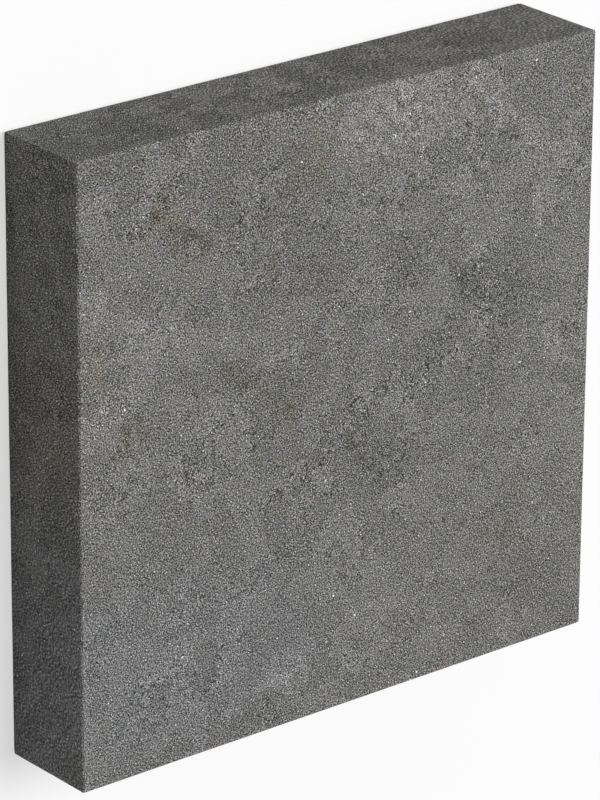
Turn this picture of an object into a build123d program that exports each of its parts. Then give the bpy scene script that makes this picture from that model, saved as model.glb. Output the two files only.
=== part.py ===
"""Square stoneware floor tile, pressed and fired as one solid piece.

The tile lies on its back. The origin is the centre of the bedding plane, +Z points up out of the wearing face,
and X and Y run along the edges. All sizes are in millimetres, and angles are in degrees.
"""

import math
import os

from build123d import *

# Outer size
SIDE = 100.0  # edge length of the square
THICKNESS = 18.0  # from the tips of the bedding pads to the wearing face

# Edges
CORNER_RADIUS = 0.3  # round on the four upright corners
ARRIS = 0.25  # bevel ground round the wearing face
BACK_BEVEL = 0.5  # bevel pressed round the back
BEVEL_ANGLE = 45.0  # lean of both bevels from upright

# Keyed back: square pads that stand in a shallow recess, inside a plain rim
KEY_DEPTH = 0.9  # depth of the grooves between the pads
PAD = 10.0  # side of a pad at its tip
GROOVE = 2.5  # width of a groove at its mouth
RIM_LEAST = 5.0  # narrowest rim that may be left round the recess
KEY_DRAFT = 30.0  # lean of the groove walls, so that the pressed tile leaves its punch

# What follows from those sizes
PAD_PITCH = PAD + GROOVE
ROUNDING = 1e-6  # keeps a row that fits exactly from losing its last pad
PAD_COUNT = math.floor((SIDE - 2 * RIM_LEAST - GROOVE) / PAD_PITCH + ROUNDING)
RECESS = PAD_COUNT * PAD_PITCH + GROOVE


def lean(height, angle):
    """How far a wall that leans by this angle moves sideways over this height."""
    return height * math.tan(math.radians(angle))


def bevel_pyramid(bevel, direction):
    """A blunt pyramid as tall as the tile, whose small end leaves a bevel of this width round one face."""
    foot = SIDE - 2 * bevel + 2 * lean(THICKNESS, BEVEL_ANGLE)
    level = Plane.XY if direction > 0 else Plane.XY.offset(THICKNESS)
    return extrude(level * Rectangle(foot, foot), THICKNESS, dir=(0, 0, direction), taper=BEVEL_ANGLE)


def pressed_block():
    """The slab: a square prism with rounded corners, trimmed to its two bevels."""
    prism = extrude(RectangleRounded(SIDE, SIDE, CORNER_RADIUS), THICKNESS)
    return prism & bevel_pyramid(ARRIS, 1) & bevel_pyramid(BACK_BEVEL, -1)


def key_recess():
    """The shallow square recess in the back, widest at its mouth."""
    return extrude(Rectangle(RECESS, RECESS), KEY_DEPTH, taper=KEY_DRAFT)


def bedding_pads():
    """The pads in the recess, each widest at its root and level with the rim at its tip."""
    root = PAD + 2 * lean(KEY_DEPTH, KEY_DRAFT)
    recess_floor = Plane.XY.offset(KEY_DEPTH)
    pad = extrude(recess_floor * Rectangle(root, root), KEY_DEPTH, dir=(0, 0, -1), taper=KEY_DRAFT)
    return [place * pad for place in GridLocations(PAD_PITCH, PAD_PITCH, PAD_COUNT, PAD_COUNT)]


def stoneware_tile():
    """The whole tile as one solid."""
    return pressed_block() - key_recess() + bedding_pads()


tile = stoneware_tile()
os.makedirs("parts", exist_ok=True)
export_step(tile, "parts/tile.step")
print(f"{PAD_COUNT} x {PAD_COUNT} pads, recess {RECESS:g} mm, rim {(SIDE - RECESS) / 2:g} mm")
print(f"{len(tile.solids())} solid, {len(tile.faces())} faces, {tile.volume / 1000:.2f} cubic centimetres")
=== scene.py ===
# %% [markdown]
# # A stoneware floor tile
#
# The object is a thick square floor tile: clay powder, pressed in a steel die and fired until it is as
# dense as stone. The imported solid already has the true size, the bevels and the keyed back. This lesson
# gives it the rest: a skin that is as slightly uneven as fired clay, and a finish of grey granules, clouds,
# stains and flecks. Everything is in metres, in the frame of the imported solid, which lies on its back with
# the origin under its middle.

import math

import bpy
import numpy as np
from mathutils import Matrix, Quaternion, Vector


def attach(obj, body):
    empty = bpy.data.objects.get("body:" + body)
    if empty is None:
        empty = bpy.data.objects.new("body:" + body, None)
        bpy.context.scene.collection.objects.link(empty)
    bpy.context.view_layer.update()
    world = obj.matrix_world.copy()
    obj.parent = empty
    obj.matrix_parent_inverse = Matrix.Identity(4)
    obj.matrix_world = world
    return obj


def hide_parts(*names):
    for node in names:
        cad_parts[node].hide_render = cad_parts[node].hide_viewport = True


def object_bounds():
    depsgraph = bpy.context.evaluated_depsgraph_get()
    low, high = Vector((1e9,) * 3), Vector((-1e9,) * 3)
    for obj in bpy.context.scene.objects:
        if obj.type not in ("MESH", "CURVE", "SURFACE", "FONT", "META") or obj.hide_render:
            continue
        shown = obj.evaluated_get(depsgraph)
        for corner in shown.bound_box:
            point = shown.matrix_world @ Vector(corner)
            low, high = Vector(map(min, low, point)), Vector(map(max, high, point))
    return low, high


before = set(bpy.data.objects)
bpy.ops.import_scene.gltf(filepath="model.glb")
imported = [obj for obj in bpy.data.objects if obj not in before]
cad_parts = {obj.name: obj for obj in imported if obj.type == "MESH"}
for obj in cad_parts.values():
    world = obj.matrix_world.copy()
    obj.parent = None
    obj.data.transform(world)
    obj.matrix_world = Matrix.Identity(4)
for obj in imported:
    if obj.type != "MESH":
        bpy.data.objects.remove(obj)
cad_low, cad_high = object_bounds()
MM = 0.001
half_side = (cad_high.x - cad_low.x) / 2
top_level = cad_high.z
print(f"packed solid: {2 * half_side / MM:.1f} mm square, {top_level / MM:.1f} mm thick")

# %% [markdown]
# ## The camera
#
# The tile lies flat, so the camera looks down on it. A long lens from far away keeps the edges almost
# parallel. The camera is rolled about its line of sight, so that the tile's +Y edge is at the top of the
# picture, as if someone had hung the tile up to look at it. Blender's lens is given for a sensor 36 mm
# along the picture's long side, so a focal length that was measured in pixels is scaled by those two
# lengths.

# %% Place the camera
PICTURE_LONG_SIDE = 800
FOCAL_LENGTH_PIXELS = 5181.0
SENSOR = 36.0
AIM = Vector((-8.56 * MM, 3.25 * MM, top_level))
EYE_DISTANCE = 780.1 * MM
EYE_AZIMUTH = math.radians(237.60)
EYE_ELEVATION = math.radians(45.82)
EYE_ROLL = math.radians(114.83)

towards_eye = Vector((
    math.sin(EYE_AZIMUTH) * math.cos(EYE_ELEVATION),
    -math.cos(EYE_AZIMUTH) * math.cos(EYE_ELEVATION),
    math.sin(EYE_ELEVATION),
))
camera = bpy.data.objects.new("camera", bpy.data.cameras.new("camera"))
bpy.context.scene.collection.objects.link(camera)
bpy.context.scene.camera = camera
camera.data.sensor_width = SENSOR
camera.data.lens = FOCAL_LENGTH_PIXELS / PICTURE_LONG_SIDE * SENSOR
camera.location = AIM + EYE_DISTANCE * towards_eye
camera.rotation_mode = "QUATERNION"
level_view = (-towards_eye).to_track_quat("-Z", "Y")
camera.rotation_quaternion = level_view @ Quaternion((0, 0, 1), EYE_ROLL)
picture_up = camera.rotation_quaternion @ Vector((0, 1, 0))
print(f"camera: {camera.data.lens:.0f} mm lens at {tuple(round(v, 4) for v in camera.location)}")
print(f"up in the picture is {tuple(round(v, 3) for v in picture_up)}")

# %% [markdown]
# ## Light
#
# A matt surface needs one broad soft light to show its form, and a weak light from all round to fill the
# shade. The soft box stands high and leans towards +Y and +X. The wearing face is then the brightest, the
# +Y side is next, and the -X side is in shade. The powers are set so that light falls on the wearing face
# at the plain level, at which a colour renders as it is written. The world is white to the eye, but it
# lights the tile only as much as the shade needs.

# %% Hang the soft box
SOFT_BOX_LEAN = Vector((0.30, 0.257, 1.0))
SOFT_BOX_DISTANCE = 2.0
SOFT_BOX_SIZE = 1.3
SOFT_BOX_POWER = 32.2

soft_box = bpy.data.objects.new("soft_box", bpy.data.lights.new("soft_box", "AREA"))
bpy.context.scene.collection.objects.link(soft_box)
soft_box.data.shape = "DISK"
soft_box.data.size = SOFT_BOX_SIZE
soft_box.data.energy = SOFT_BOX_POWER
soft_box.location = SOFT_BOX_DISTANCE * SOFT_BOX_LEAN.normalized()
soft_box.rotation_mode = "QUATERNION"
soft_box.rotation_quaternion = soft_box.location.to_track_quat("Z", "Y")
print(f"soft box {SOFT_BOX_SIZE} m wide, {SOFT_BOX_DISTANCE} m away, {SOFT_BOX_POWER} W")

# %% Light the shade from all round
SKY_STRENGTH = 0.178
VIEW_STRENGTH = 1.0


def seen_directly(nodes, links):
    """1 for a ray from the eye or from a mirror-like bounce, 0 for a ray that gathers soft light."""
    path = nodes.new("ShaderNodeLightPath")
    total = path.outputs["Is Camera Ray"]
    for name in ("Is Glossy Ray", "Is Transmission Ray"):
        larger = nodes.new("ShaderNodeMath")
        larger.operation = "MAXIMUM"
        links.new(total, larger.inputs[0])
        links.new(path.outputs[name], larger.inputs[1])
        total = larger.outputs[0]
    return total


world = bpy.data.worlds.new("studio")
bpy.context.scene.world = world
world.use_nodes = True
world_nodes = world.node_tree.nodes
world_links = world.node_tree.links
sky = world_nodes["Background"]
sky_level = world_nodes.new("ShaderNodeMapRange")
sky_level.inputs["To Min"].default_value = SKY_STRENGTH
sky_level.inputs["To Max"].default_value = VIEW_STRENGTH
sky.inputs["Color"].default_value = (1, 1, 1, 1)
world_links.new(seen_directly(world_nodes, world_links), sky_level.inputs["Value"])
world_links.new(sky_level.outputs["Result"], sky.inputs["Strength"])
bpy.context.scene.view_settings.view_transform = "Standard"
print(f"sky strength {SKY_STRENGTH} for the tile, {VIEW_STRENGTH} for the eye")

# %% [markdown]
# ## The floor
#
# The floor is plain and pale. Its own colour sends soft light up onto the sides of the tile, and its shade
# shows where the tile lies. A little glow that only the eye sees brings the open floor up to white without
# lighting the tile any more.

# %% Lay the floor
FLOOR_HALF_SIDE = 3.0
FLOOR_COLOUR = (0.455, 0.455, 0.455, 1)
FLOOR_GLOW = 0.585

corners = np.array([(-1, -1, 0), (1, -1, 0), (1, 1, 0), (-1, 1, 0)]) * FLOOR_HALF_SIDE
floor_mesh = bpy.data.meshes.new("floor")
floor_mesh.from_pydata(corners.tolist(), [], [(0, 1, 2, 3)])
floor = bpy.data.objects.new("floor", floor_mesh)
bpy.context.scene.collection.objects.link(floor)
floor_finish = bpy.data.materials.new("pale_floor")
floor_finish.use_nodes = True
floor_nodes = floor_finish.node_tree.nodes
floor_links = floor_finish.node_tree.links
floor_shader = floor_nodes["Principled BSDF"]
floor_shader.inputs["Base Color"].default_value = FLOOR_COLOUR
floor_shader.inputs["Roughness"].default_value = 1.0
floor_shader.inputs["Specular IOR Level"].default_value = 0.0
floor_shader.inputs["Emission Color"].default_value = (1, 1, 1, 1)
glow = floor_nodes.new("ShaderNodeMath")
glow.operation = "MULTIPLY"
glow.inputs[1].default_value = FLOOR_GLOW
floor_links.new(seen_directly(floor_nodes, floor_links), glow.inputs[0])
floor_links.new(glow.outputs[0], floor_shader.inputs["Emission Strength"])
floor_mesh.materials.append(floor_finish)
print(f"floor {2 * FLOOR_HALF_SIDE} m square")

# %% [markdown]
# ## Grid lines for the skin
#
# The skin is one closed surface: a grid for the wearing face, a grid for the back, and rings of points that
# run round the sides between them. A block cut by modifiers would have its points wherever the cuts leave
# them. Here both grids have the same number of lines, so their borders and the rings have the same number
# of points, and everything joins without a seam. The wearing face gets evenly spaced lines. The back gets
# its lines where its shape turns: at the mouth and the foot of every groove wall.

# %% Space the lines
ARRIS = 0.25 * MM
BACK_BEVEL = 0.5 * MM
CORNER_RADIUS = 0.3 * MM
KEY_DEPTH = 0.9 * MM
KEY_DRAFT = math.radians(30.0)
PAD = 10.0 * MM
GROOVE = 2.5 * MM
PAD_COUNT = 7
WALL_RUN = KEY_DEPTH * math.tan(KEY_DRAFT)
RECESS_HALF = (PAD_COUNT * (PAD + GROOVE) + GROOVE) / 2
RIM_STEPS = 7
WALL_STEPS = 3
BOTTOM_STEPS = 3
PAD_STEPS = 15

groove_centres = (np.arange(PAD_COUNT + 1) - PAD_COUNT / 2) * (PAD + GROOVE)


def back_grid_lines():
    """Stretches between the groove edges, each divided into equal steps: rim, wall, bottom, wall, pad and
    so on."""
    turns = np.array([-GROOVE / 2, WALL_RUN - GROOVE / 2, GROOVE / 2 - WALL_RUN, GROOVE / 2])
    places = (groove_centres[:, None] + turns).ravel()
    places = np.concatenate([[BACK_BEVEL - half_side], places, [half_side - BACK_BEVEL]])
    one_groove = [WALL_STEPS, BOTTOM_STEPS, WALL_STEPS, PAD_STEPS]
    steps = [RIM_STEPS] + one_groove * len(groove_centres)
    steps[-1] = RIM_STEPS
    stretches = [np.linspace(a, b, n, endpoint=False) for a, b, n in zip(places, places[1:], steps)]
    return np.concatenate(stretches + [places[-1:]])


back_lines = back_grid_lines()
steps_per_side = len(back_lines) - 1
face_lines = np.linspace(ARRIS - half_side, half_side - ARRIS, steps_per_side + 1)
face_step = np.ptp(face_lines) / steps_per_side
print(f"{steps_per_side} steps along each side, {face_step / MM:.2f} mm on the wearing face")

# %% [markdown]
# ## Unevenness
#
# Fired clay is never quite flat. A Displace modifier could give that, but the points are worked out in
# numpy anyway, and a smooth random field there is as easy: random numbers on a coarse lattice, blended
# between the lattice points. Two fields of different spacing added together look natural. The random
# numbers come from a seed, so that the tile is the same each time.

# %% A smooth random field
LATTICE = 64
TEST_POINTS = 2000
TEST_SPACING = 5 * MM


def smooth_field(points, spacing, seed):
    """One random number at each corner of a cubic lattice, blended between the eight corners round a point
    with the weights 3t^2 - 2t^3 along each axis, where t is how far the point is across its cell."""
    lattice = np.random.default_rng(seed).standard_normal((LATTICE, LATTICE, LATTICE))
    place = points / spacing
    cell = np.floor(place).astype(int)
    across = place - cell
    weight = across * across * (3 - 2 * across)
    total = np.zeros(len(points))
    for corner in np.ndindex(2, 2, 2):
        share = np.where(np.array(corner, bool), weight, 1 - weight).prod(axis=1)
        total += share * lattice[tuple(((cell + corner) % LATTICE).T)]
    return total


test_points = np.random.default_rng(1).uniform(-half_side, half_side, (TEST_POINTS, 3))
sample = smooth_field(test_points, TEST_SPACING, seed=1)
print(f"smooth field: mean {sample.mean():.2f}, spread {sample.std():.2f}")

# %% [markdown]
# ## The wearing face
#
# The punch leaves the face flat to a few hundredths of a millimetre, with a faint unevenness that only
# shows when light grazes it. The arris round it is rubbed down and has lost a few crumbs, so near the edge
# the face drops a little further where a ragged field is high. All of this goes down from the top level,
# never above it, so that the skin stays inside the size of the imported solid.

# %% Unevenness and lost crumbs
BROAD_SPACING = 11.0 * MM
BROAD_DROP = 0.018 * MM
FINE_SPACING = 1.7 * MM
FINE_DROP = 0.012 * MM
CRUMB_SPACING = 1.3 * MM
CRUMB_REACH = 0.9 * MM
CRUMB_DROP = 0.10 * MM
CRUMB_START = 1.1


def unevenness(points):
    """How far the fired surface lies below its ideal plane: the size of a broad field plus that of a fine
    one."""
    broad = np.abs(smooth_field(points, BROAD_SPACING, seed=11))
    fine = np.abs(smooth_field(points, FINE_SPACING, seed=12))
    return BROAD_DROP * broad + FINE_DROP * fine


def lost_crumbs(points, edge_distance):
    """What crumbled off the arris: the part of a ragged field above a threshold, fading out away from the
    edge."""
    ragged = np.clip(smooth_field(points, CRUMB_SPACING, seed=13) - CRUMB_START, 0, 1)
    nearness = np.clip(1 - edge_distance / CRUMB_REACH, 0, 1)
    return CRUMB_DROP * ragged * nearness


print(f"unevenness {unevenness(test_points).mean() / MM:.3f} mm on average")
print(f"crumbs up to {CRUMB_DROP / MM:.2f} mm")

# %% Work out the wearing face
def wearing_face():
    """Points (x, y, top level less unevenness and lost crumbs) over the even grid lines."""
    x, y = np.meshgrid(face_lines, face_lines, indexing="ij")
    level = np.full(x.size, top_level)
    flat = np.column_stack([x.ravel(), y.ravel(), level])
    edge_distance = half_side - ARRIS - np.abs(flat[:, :2]).max(axis=1)
    flat[:, 2] -= unevenness(flat) + lost_crumbs(flat, edge_distance)
    return flat


face_points = wearing_face()
deepest = top_level - face_points[:, 2].min()
print(f"wearing face: {len(face_points)} points, deepest {deepest / MM:.3f} mm down")

# %% [markdown]
# ## The keyed back
#
# The back carries square pads in a shallow recess, so that the bedding grips the tile. The pads could be
# separate boxes, but the back was pressed as one surface, so here it is a depth over the grid. A groove's
# depth along one axis is a trapezium: zero at its mouth, full between the feet of its walls. Two such
# profiles cross, and the deeper one counts. The rim closes the recess all round, so no point may be deeper
# than the recess wall lets it be. Easing the walls with the same 3t^2 - 2t^3 gives the soft edges that a
# pressed part has.

# %% Work out the back
def eased(t):
    """0 below 0, 1 above 1, and 3t^2 - 2t^3 between."""
    t = np.clip(t, 0, 1)
    return t * t * (3 - 2 * t)


def groove_profile(along):
    """Depth share of the nearest groove at a place along one axis: eased from its mouth down its wall."""
    off_centre = np.abs(along[:, None] - groove_centres).min(axis=1)
    return eased((GROOVE / 2 - off_centre) / WALL_RUN)


def keyed_back():
    """Points (x, y, depth), where depth is the deeper of the two groove profiles, held back by the recess
    wall, plus unevenness."""
    x, y = np.meshgrid(back_lines, back_lines, indexing="ij")
    flat = np.column_stack([x.ravel(), y.ravel(), np.zeros(x.size)])
    grooves = np.maximum(groove_profile(flat[:, 0]), groove_profile(flat[:, 1]))
    recess_wall = eased((RECESS_HALF - np.abs(flat[:, :2]).max(axis=1)) / WALL_RUN)
    flat[:, 2] = KEY_DEPTH * np.minimum(grooves, recess_wall) + unevenness(flat)
    return flat


back_points = keyed_back()
print(f"back: {len(back_points)} points, grooves {back_points[:, 2].max() / MM:.2f} mm deep")

# %% [markdown]
# ## The sides
#
# Between the two grids the skin goes round the tile in rings. Each ring has a height and an inset: the arris
# comes in at the top, the bevel at the back, and the plain side lies between them. A ring is the square
# outline of the grid lines scaled to its half width, with its corners rounded. A Bevel modifier could round
# them too, but it would put points of its own between the cells. The sides are as uneven as the face,
# always inwards.

# %% Go round a border and round its corners
NO_LENGTH = 1e-12  # stands in for a length of zero, which nothing can be divided by


def border_order(steps):
    """Grid positions (i, j) once round the border of a square grid, counterclockwise from its low
    corner."""
    rise = np.arange(steps)
    low, high = np.zeros(steps, int), np.full(steps, steps)
    i = np.concatenate([rise, high, steps - rise, low])
    j = np.concatenate([low, rise, high, steps - rise])
    return i, j


def rounded(outline, half, radius):
    """Pulls the four corner squares of an outline onto arcs: an offset from the arc's centre keeps its
    larger part as its length."""
    centre = np.sign(outline) * (half - radius)
    offset = outline - centre
    in_corner = (offset * np.sign(outline) > 0).all(axis=1)
    reach = np.abs(offset).max(axis=1, keepdims=True)
    length = np.linalg.norm(offset, axis=1, keepdims=True)
    on_arc = centre + offset * reach / np.maximum(length, NO_LENGTH)
    return np.where(in_corner[:, None], on_arc, outline)


border_i, border_j = border_order(steps_per_side)
print(f"{len(border_i)} points round a border")

# %% Work out the rings
SIDE_STEPS = 24

ring_heights = np.concatenate([
    [top_level - ARRIS / 2],
    np.linspace(top_level - ARRIS, BACK_BEVEL, SIDE_STEPS + 1),
    [BACK_BEVEL / 2],
])
ring_insets = np.maximum(ARRIS - (top_level - ring_heights), BACK_BEVEL - ring_heights).clip(0)


def side_ring(height, inset):
    """One ring: lines blended from the face's to the back's spacing by depth, drawn in by inset, unevenness
    and lost crumbs."""
    share = (top_level - height) / top_level
    lines = (1 - share) * face_lines / face_lines[-1] + share * back_lines / back_lines[-1]
    half = half_side - inset
    outline = np.column_stack([lines[border_i], lines[border_j]]) * half
    outline = rounded(outline, half, max(CORNER_RADIUS - inset, 0))
    ring = np.column_stack([outline, np.full(len(outline), height)])
    drawn_in = unevenness(ring) + lost_crumbs(ring, top_level - ring[:, 2])
    ring[:, :2] *= 1 - drawn_in[:, None] / half_side
    return ring


ring_points = np.concatenate([side_ring(h, d) for h, d in zip(ring_heights, ring_insets)])
print(f"sides: {len(ring_heights)} rings, {len(ring_points)} points")

# %% [markdown]
# ## Closing the skin
#
# The points are numbered face first, then rings, then back. A grid's cells are four neighbouring numbers.
# The back is seen from below, so its cells go round the other way. Between two rings, or a ring and a
# grid's border, each cell takes two neighbours from the upper loop and two from the lower. The parts share
# their numbers, so nothing has to be merged afterwards. If every edge then belongs to exactly two cells,
# the skin is closed, and if its volume comes out positive, its faces point outwards.

# %% Join the points
def grid_cells(steps, first):
    """Four corners of every cell of a square grid of points, counterclockwise seen from +Z."""
    number = first + np.arange((steps + 1) ** 2).reshape(steps + 1, steps + 1)
    around = [number[:-1, :-1], number[1:, :-1], number[1:, 1:], number[:-1, 1:]]
    return np.stack(around, -1).reshape(-1, 4)


def belt_cells(upper, lower):
    """Cells between two closed loops of point numbers, one above the other."""
    return np.column_stack([upper, lower, np.roll(lower, -1), np.roll(upper, -1)])


border = border_i * (steps_per_side + 1) + border_j
first_ring = len(face_points)
first_back = first_ring + len(ring_points)
ring_loops = first_ring + np.arange(len(ring_points)).reshape(len(ring_heights), -1)
loops = [border, *ring_loops, first_back + border]
belts = [belt_cells(upper, lower) for upper, lower in zip(loops, loops[1:])]
cells = np.concatenate([
    grid_cells(steps_per_side, 0),
    *belts,
    grid_cells(steps_per_side, first_back)[:, ::-1],
])
points = np.concatenate([face_points, ring_points, back_points])
print(f"{len(points)} points, {len(cells)} cells")

# %% Test that the skin is closed
CUBIC_CENTIMETRE = (10 * MM) ** 3


def edge_uses(cells):
    """How many cells meet at each edge."""
    edges = np.sort(np.stack([cells, np.roll(cells, -1, axis=1)], -1).reshape(-1, 2), axis=1)
    return np.unique(edges, axis=0, return_counts=True)[1]


def enclosed_volume(points, cells):
    """A sixth of the sum of a . (b x c) over the two triangles of every cell."""
    a, b, c, d = (points[cells[:, k]] for k in range(4))
    return ((a * np.cross(b, c)).sum() + (a * np.cross(c, d)).sum()) / 6


uses = edge_uses(cells)
print(f"{2 * len(cells)} triangles, edges with two cells: {(uses == 2).sum()} of {len(uses)}")
print(f"volume {enclosed_volume(points, cells) / CUBIC_CENTIMETRE:.2f} cubic centimetres")

# %% [markdown]
# ## From arrays to a mesh
#
# Blender takes whole arrays with foreach_set, which is far quicker than adding points one by one. Smooth
# shading hides the small cells, and edges sharper than a set angle stay crisp, which keeps the arris and the
# pads clear.

# %% Make the mesh
CRISP_ANGLE = math.radians(28)

skin = bpy.data.meshes.new("stoneware_tile")
skin.vertices.add(len(points))
skin.vertices.foreach_set("co", points.astype(np.float32).ravel())
skin.loops.add(cells.size)
skin.loops.foreach_set("vertex_index", cells.astype(np.int32).ravel())
skin.polygons.add(len(cells))
skin.polygons.foreach_set("loop_start", np.arange(0, cells.size, 4, dtype=np.int32))
skin.update(calc_edges=True)
skin.polygons.foreach_set("use_smooth", np.ones(len(cells), bool))
skin.set_sharp_from_angle(angle=CRISP_ANGLE)
tile = bpy.data.objects.new("stoneware_tile", skin)
bpy.context.scene.collection.objects.link(tile)
print(f"mesh changed by validation: {skin.validate()}")

# %% [markdown]
# ## Marks from the kiln
#
# Some marks have a place of their own: sooty spots, pale spots and streaks, rusty and brown stains, a slow
# drift from bluish to olive, and zones where the surface flakes. They could be painted on an image, but the
# skin has a point about every half millimetre, which is fine enough for marks as soft as these. So they
# are worked out at its points and kept there as attributes, which the material reads later. Each mark is an
# ellipse on one of the faces. Before that every point is shaken by a smooth random field, so the rims come
# out ragged.

# %% Shake the points
SHAKE_SPACING = 3.6 * MM
SHAKE = 1.25 * MM
BROAD_SHAKE_SEEDS = (21, 22, 23)
FINE_SHAKE_SEEDS = (24, 25, 26)


def shaken(points):
    """Every point moved by a smooth field along each axis, and by one three times as fine and half as
    strong."""
    broad = np.column_stack([smooth_field(points, SHAKE_SPACING, seed) for seed in BROAD_SHAKE_SEEDS])
    fine = np.column_stack([smooth_field(points, SHAKE_SPACING / 3, seed) for seed in FINE_SHAKE_SEEDS])
    return points + SHAKE * (broad + fine / 2)


shaken_points = shaken(points)
mean_shake = np.linalg.norm(shaken_points - points, axis=1).mean()
print(f"points shaken by {mean_shake / MM:.2f} mm on average")

# %% How a mark is worked out
MARK_CORE = 0.2
MARK_RIM = 1.5
X, Y, Z = range(3)
WEARING_FACE = (X, Y, Z, top_level)
FAR_SIDE = (X, Z, Y, half_side)
LEFT_SIDE = (Y, Z, X, -half_side)


def mark_strength(places, face, u, v, half_length, half_width, turn):
    """The offset from the mark's middle is turned and divided by its half length and half width, so that
    its size is 1 on the ellipse. The mark is 1 inside the core and eases to 0 at the rim. A face gives the
    axes of u and v, then the axis across it and its level on that axis."""
    u_axis, v_axis, level_axis, level = face
    angle = math.radians(turn)
    du = places[:, u_axis] - u * MM
    dv = places[:, v_axis] - v * MM
    along = du * math.cos(angle) + dv * math.sin(angle)
    across = dv * math.cos(angle) - du * math.sin(angle)
    deep = places[:, level_axis] - level
    out = np.sqrt((along / half_length) ** 2 + (across / half_width) ** 2 + (deep / half_width) ** 2) / MM
    return eased((MARK_RIM - out) / (MARK_RIM - MARK_CORE))


print(f"a mark is whole at {MARK_CORE} of its ellipse and gone at {MARK_RIM}")

# %% [markdown]
# The marks are listed by face and kind: place in millimetres, half length, half width, turn in degrees and
# strength. On the wearing face a place is x and y from the middle. On a side it is the place along the side
# and the height. A kind says how much pale bloom, rust, drift and flaking it brings. Soot is bloom below
# zero, a brown stain is soot with some rust, and a bluish patch is drift below zero.

# %% What each kind of mark brings
PAINTS = ("bloom", "rust", "drift", "flaky")
KINDS = {
    "pale": (1, 0, 0, 0),
    "soot": (-1, 0, 0, 0),
    "rust": (0, 1, 0, 0),
    "brown": (-0.8, 0.35, 0, 0),
    "olive": (0, 0, 1, 0),
    "bluish": (0, 0, -1, 0),
    "flaky": (0, 0, 0, 1),
}


def laid_on(face, kind, marks):
    """What the marks of one kind add to each paint: strength times share, added up, times what the kind
    brings."""
    shares = [strength * mark_strength(shaken_points, face, *place) for *place, strength in marks]
    print(f"{kind}: {len(marks)} laid on")
    return np.sum(shares, axis=0)[:, None] * np.array(KINDS[kind])


print(f"{len(KINDS)} kinds of mark, {len(PAINTS)} paints")

# %% Rust and brown stains on the wearing face
paint = laid_on(WEARING_FACE, "rust", [
    (-34, 38.5, 4.5, 3.5, 0, 1.0), (-40, 5, 3.5, 2.5, 25, 0.65), (-29, 29, 3.5, 2.5, 90, 0.7),
    (-6, 41, 4.5, 3.5, 60, 0.7), (-49, 17, 5, 4, 0, 0.6),
])
paint += laid_on(WEARING_FACE, "brown", [
    (-34, 38.5, 4.5, 3.5, 0, 0.5), (-40, 5, 3.5, 2.5, 25, 1.0), (-29, 33.5, 3.5, 3, 0, 1.6),
    (-12, 3.5, 5.5, 3.2, -50, 1.1), (-21, 11, 4.5, 2.8, -20, 1.7), (-30, 13, 3.5, 3, 0, 0.7),
    (-6.5, 23, 5.5, 4, 20, 0.75), (-8, 30, 12, 9, 0, 0.18), (-16, -47, 5, 3, 0, 0.7),
])

# %% Soot on the wearing face
paint += laid_on(WEARING_FACE, "soot", [
    (25.6, 14.2, 4.8, 2.9, -45, 2.7), (33.5, 12.5, 6, 3.6, 75, 1.0), (13, 19.5, 3, 2.4, 0, 0.7),
    (13, 22.5, 6, 2.2, 0, 0.5), (18, 7, 5, 3, 15, 0.55), (29, 1, 5, 3.4, 90, 0.6),
    (7, -9.5, 5.5, 5.2, 0, 1.6), (9, -21, 3.5, 2.4, 0, 0.5), (2, -3, 3.5, 2.6, -40, 1.1),
    (-12, -23, 5, 2.4, -70, 0.5), (19, -11, 2.4, 1.6, 80, 0.6), (-13, -45, 3.5, 2.8, -30, 0.7),
    (-20, 37, 5, 3, -20, 0.55), (-27, 23, 2.6, 2.2, 0, 0.6), (32, 36, 3, 2.6, 0, 0.6),
    (-46, 47, 7, 4, 0, 0.45), (-34, -6, 16, 16, 0, 0.2), (33, -34, 16, 14, 0, 0.22),
])

# %% Pale spots and streaks on the wearing face
paint += laid_on(WEARING_FACE, "pale", [
    (10, 45, 12, 7, 0, 1.3), (7, 40.5, 6, 3, 0, 0.5), (18, 42, 5, 3, 0, 0.4),
    (29, 43, 8, 2.8, -50, 1.5), (40, 34.5, 8, 2.8, -35, 0.55), (38.5, 26, 6, 2.6, 80, 0.7),
    (-47, 42, 4, 3.4, 0, 0.8), (-11, 12, 3.5, 3, 0, 0.7), (-12, -42, 4.5, 3.2, 30, 1.5),
    (6, -36, 3.5, 3, 0, 0.7), (44, -1, 6.5, 2.6, -40, 0.7), (34, -45, 6, 4, 0, 0.5),
    (-39, 20, 7, 4, 0, 0.75), (-48, 28, 5, 4, 90, 0.85), (-25, 15, 6, 3, -30, 0.6),
    (-47, 8, 5, 2.8, 20, 0.55), (-28, -36, 18, 10, 0, 0.15),
])

# %% Drift and flaking on the wearing face
paint += laid_on(WEARING_FACE, "bluish", [(-28, -36, 30, 20, 0, 1.2)])
paint += laid_on(WEARING_FACE, "olive", [(38, -34, 20, 16, 0, 0.5)])
paint += laid_on(WEARING_FACE, "flaky", [
    (28, 14, 10, 3, -72, 1.7), (10.5, 20, 9, 4, -5, 1.3), (18, 4, 11, 4, 25, 1.2),
    (3, -2, 5, 4, 0, 1.3), (-7, -10, 8, 5, 20, 1.3), (11, -17, 6, 4, 90, 1.3),
    (-25, 0, 9, 7, 30, 1.1), (-33, -37, 9, 9, 0, 1.0), (-34, 44, 6, 4, 40, 0.8),
    (-19, 36, 7, 4, -70, 0.8), (22, 35, 16, 6, 0, 0.9), (44, 3, 5, 4, 0, 1.2),
    (9, -42, 9, 4, 0, 0.8), (-12, -48, 5, 3, 0, 0.8), (46, 33, 4, 9, 0, 0.9),
])

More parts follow.
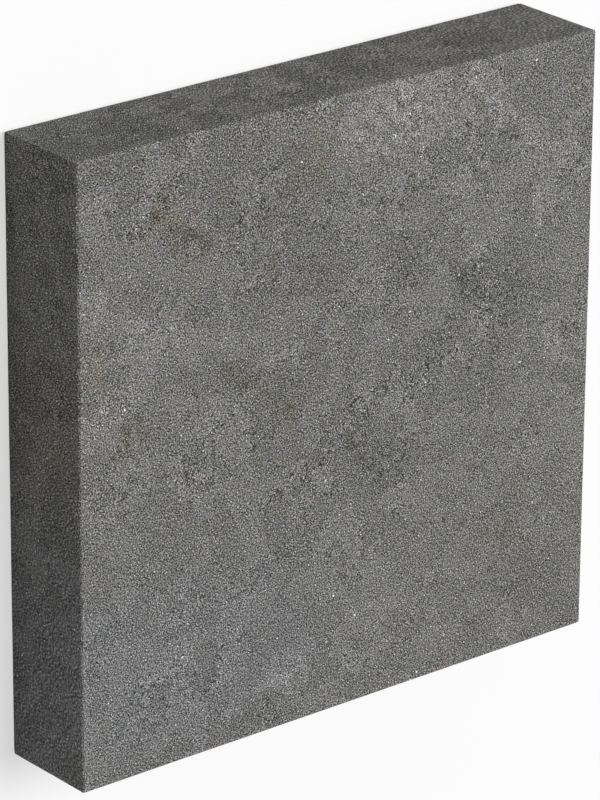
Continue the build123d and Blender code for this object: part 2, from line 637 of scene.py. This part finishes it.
# %% Marks on the far side
paint += laid_on(FAR_SIDE, "soot", [
    (-35, 12, 4.5, 2, 40, 1.0), (-7, 14, 2, 1.6, 0, 1.0), (12, 10, 5, 3, 30, 0.6),
    (31, 9, 7, 4, 80, 0.7), (-44, 9, 6, 7, 0, 0.35), (7, 9, 7, 7, 0, 0.45),
])
paint += laid_on(FAR_SIDE, "pale", [
    (-5.5, 6.5, 4, 3, 60, 1.0), (-26, 4, 4, 3, 0, 0.6), (-13, 9, 8, 7, 0, 0.3), (45, 9, 6, 7, 0, 0.3),
])
paint += laid_on(FAR_SIDE, "olive", [(22, 9, 14, 10, 0, 1.2)])
paint += laid_on(FAR_SIDE, "flaky", [(0, 9, 50, 9, 0, 1.5)])

# %% Marks on the left side
paint += laid_on(LEFT_SIDE, "soot", [
    (43, 13, 4, 2.6, 60, 0.8), (18, 8, 3, 2.4, 0, 0.8), (-9, 13, 5, 3, 30, 0.5), (-32, 9, 16, 9, 0, 0.2),
])
paint += laid_on(LEFT_SIDE, "pale", [
    (23, 5, 4, 2.4, 90, 0.7), (35, 9, 6, 6, 0, 0.4), (3, 9, 8, 6, 0, 0.25),
])
paint += laid_on(LEFT_SIDE, "rust", [(4, 13, 4, 3, 0, 0.8), (6, 8, 14, 10, 0, 0.4)])
paint += laid_on(LEFT_SIDE, "bluish", [(-30, 8, 24, 14, 0, 0.9)])
paint += laid_on(LEFT_SIDE, "flaky", [(0, 9, 50, 9, 0, 0.2)])
for name, values in zip(PAINTS, paint.T):
    print(f"{name}: {values.min():.2f} to {values.max():.2f}")

# %% [markdown]
# ## Rubbed edges
#
# Wherever two faces meet, the edge is rubbed and a little paler. Blender's Pointiness could find such
# edges, but it depends on the size of the mesh's cells, so distances are used. Of a point's distances to the
# planes of the faces, the smallest is about zero on any face. The second smallest is about zero only on an
# edge, so it says how near the edge is.

# %% Work out the rubbed edges
RUB_REACH = 0.9 * MM

to_sides = half_side - np.abs(points[:, :2])
to_ends = np.minimum(points[:, 2], top_level - points[:, 2])
edge_distance = np.sort(np.column_stack([to_sides, to_ends]), axis=1)[:, 1]
rubbed = eased(1 - edge_distance / RUB_REACH)
print(f"{(rubbed > 0.5).mean():.1%} of the points are on rubbed edges")

# %% [markdown]
# ## The skin laid out flat
#
# The finest grains will be a flat pattern, and a flat pattern has to be wrapped round the tile. A UV map
# could do that, but one number is enough here. The depth below the wearing face says how far out a point of
# the skin comes to lie when the sides are folded out flat round it. The whole back has the depth of the
# tile's thickness, so that the pattern isn't squeezed on the walls of its grooves.

# %% Work out the depth
depth = np.concatenate([
    np.zeros(len(face_points)),
    top_level - ring_points[:, 2],
    np.full(len(back_points), top_level),
])
print(f"depth 0 to {depth.max() / MM:.1f} mm")

# %% Keep the marks, the rubbing and the depth on the mesh
for name, values in zip((*PAINTS, "rubbed", "depth"), (*paint.T, rubbed, depth)):
    skin.attributes.new(name, "FLOAT", "POINT").data.foreach_set("value", values.astype(np.float32))
print("attributes:", [name for name in skin.attributes.keys() if not name.startswith(".")])

# %% [markdown]
# ## The finish
#
# Unglazed stoneware shows what it was pressed from: granules of lighter and darker clay, a few tenths of a
# millimetre across. Over them lie broad clouds, a worn film, chips, the marks from the kiln, flecks and
# pores. A picture wrapped round the tile would repeat or stretch somewhere, so each of these is a layer of
# nodes. Most of them read Object coordinates, so a pattern goes through the edges as it does in a solid
# body. The helpers below add a node, wire it up and hand back the socket that the next node needs.

# %% Start the material
stoneware = bpy.data.materials.new("fired_stoneware")
stoneware.use_nodes = True
tree = stoneware.node_tree
shader = tree.nodes["Principled BSDF"]


def node(kind, inputs, **settings):
    """Adds a shader node, sets its settings, and fills its inputs with sockets or plain values."""
    made = tree.nodes.new("ShaderNode" + kind)
    for name, value in settings.items():
        setattr(made, name, value)
    for name, value in inputs.items():
        if isinstance(value, bpy.types.NodeSocket):
            tree.links.new(value, made.inputs[name])
        else:
            made.inputs[name].default_value = value
    return made


def calculate(operation, *values):
    """One step of arithmetic on sockets and numbers."""
    return node("Math", dict(enumerate(values)), operation=operation).outputs[0]


def ramp(value, low, high, at_low, at_high):
    """Takes a value from one range to another, eased at both ends and held outside it."""
    inputs = {"Value": value, "From Min": low, "From Max": high, "To Min": at_low, "To Max": at_high}
    return node("MapRange", inputs, interpolation_type="SMOOTHSTEP").outputs["Result"]


def about_zero(value, swing):
    """Turns a field between 0 and 1 into an amount that swings about zero."""
    return calculate("MULTIPLY_ADD", value, swing, -swing / 2)


object_place = node("TexCoord", {}).outputs["Object"]
print(f"material {stoneware.name} started")

# %% [markdown]
# ## A noise for the solid layers
#
# Blender's noise is built on a cubic lattice, and a flat face that lies along that lattice cuts it badly:
# spots line up, and the contrast changes with the height of the cut. So every solid layer reads places that
# are turned by odd angles, as well as scaled from metres to millimetres. A seed takes each layer from
# elsewhere in space. Only the finest grains, further on, are made another way.

# %% The noise
LATTICE_TURN = (0.61, 0.47, 0.29)
SEED_STEP = np.array((371.3, 193.7, 517.9))
TO_MILLIMETRES = (1 / MM,) * 3


def layer_place(seed):
    """Object coordinates in millimetres, turned and moved."""
    inputs = {
        "Vector": object_place,
        "Location": seed * SEED_STEP,
        "Rotation": LATTICE_TURN,
        "Scale": TO_MILLIMETRES,
    }
    return node("Mapping", inputs).outputs["Vector"]


def field(size, seed, detail=0.0, rough=0.5):
    """Smooth noise between 0 and 1 with features of this size in millimetres, and finer octaves if detail
    asks."""
    inputs = {"Vector": layer_place(seed), "Scale": 1 / size, "Detail": detail, "Roughness": rough}
    return node("TexNoise", inputs).outputs["Fac"]


print(f"noise turned by {[round(math.degrees(v)) for v in LATTICE_TURN]} degrees")

# %% [markdown]
# ## Clouds and flaky zones
#
# Colours are added up as the eye sees them, with black at 0 and white at 1: to the eye, the light spots of
# this clay are as much lighter as the dark ones are darker. Broad clouds come from the kiln. In the flaky
# zones the surface is more broken than elsewhere. They are the marks of that kind, and the high parts of a
# noise of their own.

# %% Clouds and flaky zones
CLOUD_SIZE = 30.0
CLOUD_SWING = 0.04
ZONE_SIZE = 9.0
ZONE_EDGES = (0.44, 0.60)
ZONE_STRENGTH = 0.65


def from_skin(name):
    """An attribute of the mesh as a socket."""
    return node("Attribute", {}, attribute_name=name).outputs["Fac"]


clouds = about_zero(field(CLOUD_SIZE, seed=1), CLOUD_SWING)
noisy_zones = ramp(field(ZONE_SIZE, seed=3), *ZONE_EDGES, 0.0, ZONE_STRENGTH)
flaky = calculate("ADD", from_skin("flaky"), noisy_zones)
print(f"clouds {CLOUD_SIZE} mm, flaky zones {ZONE_SIZE} mm")

# %% [markdown]
# ## A worn film
#
# Over the clouds lies a thin pale film that is worn through, with edges like lace. One noise with five
# octaves says how thick it is. A colour ramp turns that into light: the bare clay is dark, painted shade
# runs along the edge of the film as a crevice, and its rim has a painted highlight and is the palest. In
# the flaky zones the film stands out more. The bloom from the mesh is added to the thickness, so the film
# is gone in a sooty spot and whole in a pale one.
# The bloom also brings light of its own. A fine noise breaks it up, so that no mark is a smooth blot.

# %% The worn film
FILM_SIZE = 5.0
FILM_DETAIL = 4.0
FILM_ROUGH = 0.62
# place and level of the bare clay, the painted shade of the crevice, the painted highlight of the rim, and
# the film
FILM_AND_EDGE_LIGHT_STOPS = ((0.46, 0.30), (0.485, 0.0), (0.515, 1.0), (0.545, 0.66))
FILM_MIDDLE = 0.5
FILM_SWING_LEAST = 0.036
FILM_SWING_MORE = 0.058
BLOOM_PUSH = 0.16


def profile(value, stops):
    """A value between 0 and 1 taken through straight stretches between the stops, each a place and its
    level."""
    made = node("ValToRGB", {"Fac": value})
    elements = made.color_ramp.elements
    for _ in range(len(stops) - len(elements)):
        elements.new(1.0)
    for element, (place, level) in zip(elements, stops):
        element.position = place
        element.color = (level, level, level, 1)
    return made.outputs["Color"]


bloom = from_skin("bloom")
whole_film = field(FILM_SIZE, seed=2, detail=FILM_DETAIL, rough=FILM_ROUGH)
thickness = calculate("MULTIPLY_ADD", bloom, BLOOM_PUSH, whole_film)
# The ramp paints shade along the film's edge as a crevice, and a highlight on its rim.
film_and_edge_light = calculate("SUBTRACT", profile(thickness, FILM_AND_EDGE_LIGHT_STOPS), FILM_MIDDLE)
film_swing = calculate("MULTIPLY_ADD", flaky, FILM_SWING_MORE, FILM_SWING_LEAST)
print(f"film {FILM_SIZE} mm")

# %% The light of film and bloom
BLOOM_SIZE = 1.5
BLOOM_DETAIL = 3.0
BLOOM_ROUGH = 0.65
BLOOM_EDGES = (0.42, 0.58)
BLOOM_LIGHT = 0.085

bloom_spots = field(BLOOM_SIZE, seed=4, detail=BLOOM_DETAIL, rough=BLOOM_ROUGH)
bloom_light = ramp(bloom_spots, *BLOOM_EDGES, 0.0, BLOOM_LIGHT)
film_bloom_and_edge_light = calculate("MULTIPLY_ADD", film_and_edge_light, film_swing, calculate("MULTIPLY", bloom, bloom_light))
print(f"bloom broken up by spots of {BLOOM_SIZE} mm and less")

# %% [markdown]
# ## Grains
#
# The powder is made of tiny grains of lighter and darker clay, and a noise as fine as the grains is such a
# field of round spots. But a plane that cuts a solid noise meets its lattice in slow waves of stronger and
# weaker spots. So the grains are a flat noise, on the skin laid out flat, and two such noises with their
# lattices turned apart are added, so that neither lattice shows. On the sides the grains are drawn out, as
# if the tile had been dragged along the wall of the die. They stand out more there, and the sides get a
# little painted shade, which makes them a touch darker.
#
# If v is the sum of both noises, stretched to swing about zero, v - 0.45 v^2 + 0.6 v^3 makes a few grains
# very light or very dark, and leans a little towards the dark. The swing is large, because grains this small
# blend into each other for the eye, and much of it is lost.

# %% Grains
GRAIN_SIZE = 0.23
GRAIN_DRAG = 1.5
GRAIN_TURNS = (0.61, 1.40)
GRAIN_GAIN = 2.0
GRAIN_SWING = 0.28
GRAIN_TAILS = 0.6
GRAIN_LEAN = 0.45
SIDE_GRAIN_MORE = 0.06
# painted shade: the sides are made a touch darker than the light leaves them
SIDE_PAINTED_SHADE = -0.0085


def unfolded(depth, drag):
    """The skin laid out flat round the wearing face: x and y times 1 + depth / (drag * half side)."""
    spread = calculate("MULTIPLY_ADD", depth, 1 / (drag * half_side), 1.0)
    inputs = {"Vector": object_place, "Scale": spread}
    return node("VectorMath", inputs, operation="SCALE").outputs["Vector"]


def flat_field(place, size, turn):
    """Smooth noise between 0 and 1 on a flat place, with its lattice turned by an angle."""
    turned = node("Mapping", {"Vector": place, "Rotation": (0, 0, turn), "Scale": TO_MILLIMETRES})
    inputs = {"Vector": turned.outputs["Vector"], "Scale": 1 / size, "Detail": 0.0}
    return node("TexNoise", inputs, noise_dimensions="2D").outputs["Fac"]


skin_depth = from_skin("depth")
flat_place = unfolded(skin_depth, GRAIN_DRAG)
both_grains = calculate("ADD", *(flat_field(flat_place, GRAIN_SIZE, turn) for turn in GRAIN_TURNS))
grains = calculate("MULTIPLY_ADD", both_grains, GRAIN_GAIN, -GRAIN_GAIN)
tails = calculate("MULTIPLY_ADD", calculate("MULTIPLY", grains, grains), GRAIN_TAILS, 1.0)
tails = calculate("MULTIPLY_ADD", grains, -GRAIN_LEAN, tails)
on_sides = ramp(skin_depth, 0.0, ARRIS, 0.0, 1.0)
grain_swing = calculate("MULTIPLY_ADD", on_sides, SIDE_GRAIN_MORE, GRAIN_SWING)
# The clouds, with painted shade added on the sides.
clouds_and_side_shade = calculate("MULTIPLY_ADD", on_sides, SIDE_PAINTED_SHADE, clouds)
grains_clouds_and_side_shade = calculate("MULTIPLY_ADD", calculate("MULTIPLY", grains, tails), grain_swing, clouds_and_side_shade)
print(f"grains {GRAIN_SIZE} mm")

# %% [markdown]
# ## Chips
#
# Here and there the surface has lifted in tiny flakes, under a millimetre across. What shows is their edge,
# painted: painted shade in a dark crevice, with a painted highlight on a pale rim beside it. A colour ramp
# makes both from one noise, as it did for the film.
# The chips gather where the film ends, everywhere a little, and more in the flaky zones.

# %% Chips
CHIP_SIZE = 0.8
CHIP_DETAIL = 1.0
CHIP_SHADE_AND_HIGHLIGHT_STOPS = ((0.41, 0.5), (0.455, 0.0), (0.49, 0.0), (0.525, 0.8), (0.60, 0.5))
CHIP_MIDDLE = 0.45
CHIP_SWING_LEAST = 0.22
CHIP_SWING_MORE = 0.27
CHIP_REACH = 0.18
FILM_EDGE = 0.5

flakes = field(CHIP_SIZE, seed=8, detail=CHIP_DETAIL)
# painted shade in the crevice and a painted highlight on the rim of each chip
chip_shade_and_highlight = calculate("SUBTRACT", profile(flakes, CHIP_SHADE_AND_HIGHLIGHT_STOPS), CHIP_MIDDLE)
chip_swing = calculate("MULTIPLY_ADD", flaky, CHIP_SWING_MORE, CHIP_SWING_LEAST)
from_film_edge = calculate("ABSOLUTE", calculate("SUBTRACT", whole_film, FILM_EDGE))
chip_share = ramp(from_film_edge, 0.0, CHIP_REACH, 1.0, 0.0)
painted_chip_light = calculate("MULTIPLY", chip_shade_and_highlight, calculate("MULTIPLY", chip_swing, chip_share))
film_bloom_and_edge_light = calculate("ADD", film_bloom_and_edge_light, painted_chip_light)
print(f"chips {CHIP_SIZE} mm")

# %% [markdown]
# ## Tints
#
# No grey clay is quite neutral. Here it drifts between warm and cool, and a little between green and rose,
# in spots of one or two millimetres and less. Mixing in whole colours would also change how light the clay
# is, so small changes are added instead: one noise moves red against blue, and another one moves green. The
# film is a little blue and lilac, so it brings a tint of its own with its light.

# %% Tints
TINT_SIZE = 1.3
TINT_DETAIL = 1.0
TINT_ROUGH = 1.0
WARM_SWING = 0.048
GREEN_SWING = 0.053
FILM_TINT = (1.01, 0.95, 1.03)


def painted(total, share, change):
    """Adds a change of colour, as much of it as the share says."""
    inputs = {0: share, 1: change, 2: total}
    return node("VectorMath", inputs, operation="MULTIPLY_ADD").outputs["Vector"]


warm = about_zero(field(TINT_SIZE, seed=6, detail=TINT_DETAIL, rough=TINT_ROUGH), WARM_SWING)
green = about_zero(field(TINT_SIZE, seed=7, detail=TINT_DETAIL, rough=TINT_ROUGH), GREEN_SWING)
cool = calculate("MULTIPLY", warm, -1.0)
tint = node("CombineColor", {"Red": warm, "Green": green, "Blue": cool}).outputs["Color"]
tint = painted(tint, film_bloom_and_edge_light, FILM_TINT)
print(f"tints from {TINT_SIZE} mm down")

# %% [markdown]
# Rust and drift soak into the clay, so they stay soft. Each is a change of red, green and blue times its
# strength on the mesh. Where the drift is below zero, the change is turned round, from olive to bluish.

# %% Rust and drift
RUST = (-0.011, -0.026, -0.044)
OLIVE_DRIFT = (-0.003, -0.006, -0.015)

tint = painted(tint, from_skin("rust"), RUST)
tint = painted(tint, from_skin("drift"), OLIVE_DRIFT)
print(f"rust changes red, green and blue by {RUST}, drift by {OLIVE_DRIFT}")

# %% [markdown]
# ## Flecks and pores
#
# Here and there a grain is white or tan, or has fallen out and left a pore, darkened with painted shade.
# Thousands of tiny meshes could be scattered for them, but at this size a spot of colour looks the same. A
# Voronoi texture scatters points
# through the whole body. Those that happen to lie at the surface show as spots, and a random number for each
# point says what it is: most are nothing, some are pores, and a few are white or tan.

# %% Flecks and pores
FLECK_SPACING = 1.2
FLECK_RADIUS = 0.24
WHITE_ABOVE = 0.957
TAN_BELOW = 0.015
PORE_KIND = 0.42
PORE_SHARE = 0.2
WHITE_FLECK = (0.45, 0.45, 0.44)
TAN_FLECK = (0.20, 0.16, 0.12)
PORE_SHADE = (-0.25, -0.25, -0.25)

specks = node("TexVoronoi", {"Vector": layer_place(seed=9), "Scale": 1 / FLECK_SPACING})
speck_number = node("SeparateColor", {"Color": specks.outputs["Color"]}).outputs["Red"]
speck_edge = FLECK_RADIUS / FLECK_SPACING
speck = ramp(specks.outputs["Distance"], speck_edge / 2, speck_edge, 1.0, 0.0)
white = calculate("MULTIPLY", speck, calculate("GREATER_THAN", speck_number, WHITE_ABOVE))
tan = calculate("MULTIPLY", speck, calculate("LESS_THAN", speck_number, TAN_BELOW))
pores = calculate("MULTIPLY", speck, calculate("COMPARE", speck_number, PORE_KIND, PORE_SHARE / 2))
tint = painted(tint, white, WHITE_FLECK)
tint = painted(tint, tan, TAN_FLECK)
# painted shade: a pore is darkened as if shade fell into its hole
tint = painted(tint, pores, PORE_SHADE)
print(f"flecks {FLECK_RADIUS} mm in radius, one point each {FLECK_SPACING} mm")

# %% [markdown]
# ## Colour
#
# The middle grey, the light of clouds, grains and rubbed edges with the painted shade of the sides, and the
# tints, which carry the painted shade and highlights of film edges and chips, are added up. A Gamma node
# makes the sum the linear colour that light works with.

# %% Wire up the colour
EYE_GREY = (0.4656, 0.4625, 0.4518)
EYE_GAMMA = 2.2
RUBBED_LIGHT = 0.025

light = calculate("MULTIPLY_ADD", from_skin("rubbed"), RUBBED_LIGHT, grains_clouds_and_side_shade)
lit_tint = node("VectorMath", {0: tint, 1: light}, operation="ADD").outputs["Vector"]
seen = node("VectorMath", {0: lit_tint, 1: EYE_GREY}, operation="ADD").outputs["Vector"]
colour = node("Gamma", {"Color": seen, "Gamma": EYE_GAMMA}).outputs["Color"]
tree.links.new(colour, shader.inputs["Base Color"])
print("middle grey as light:", [round(v**EYE_GAMMA, 3) for v in EYE_GREY])

# %% [markdown]
# ## Gloss and relief
#
# Fired stoneware is matt. The film is rubbed a little smoother than the body under it. The relief of grains,
# film and pores is far finer than the mesh, so it is bump: a height in millimetres that only turns the
# light.

# %% Roughness and bump
SMOOTHEST = 0.70
ROUGHEST = 0.92
GLOSS_LEVEL = 0.35
GRAIN_RELIEF = 0.035
FILM_RELIEF = 0.03
PORE_RELIEF = -0.05

roughness = ramp(film_and_edge_light, -FILM_MIDDLE, 1 - FILM_MIDDLE, ROUGHEST, SMOOTHEST)
tree.links.new(roughness, shader.inputs["Roughness"])
shader.inputs["Specular IOR Level"].default_value = GLOSS_LEVEL
height = calculate("MULTIPLY_ADD", pores, PORE_RELIEF, calculate("MULTIPLY", grains, GRAIN_RELIEF))
height = calculate("MULTIPLY_ADD", film_and_edge_light, FILM_RELIEF, height)
bump = node("Bump", {"Height": height, "Distance": MM})
tree.links.new(bump.outputs["Normal"], shader.inputs["Normal"])
skin.materials.append(stoneware)
print(f"{len(tree.nodes)} nodes in {stoneware.name}")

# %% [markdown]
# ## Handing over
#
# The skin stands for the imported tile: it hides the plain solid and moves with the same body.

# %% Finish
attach(tile, "root")
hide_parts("tile")
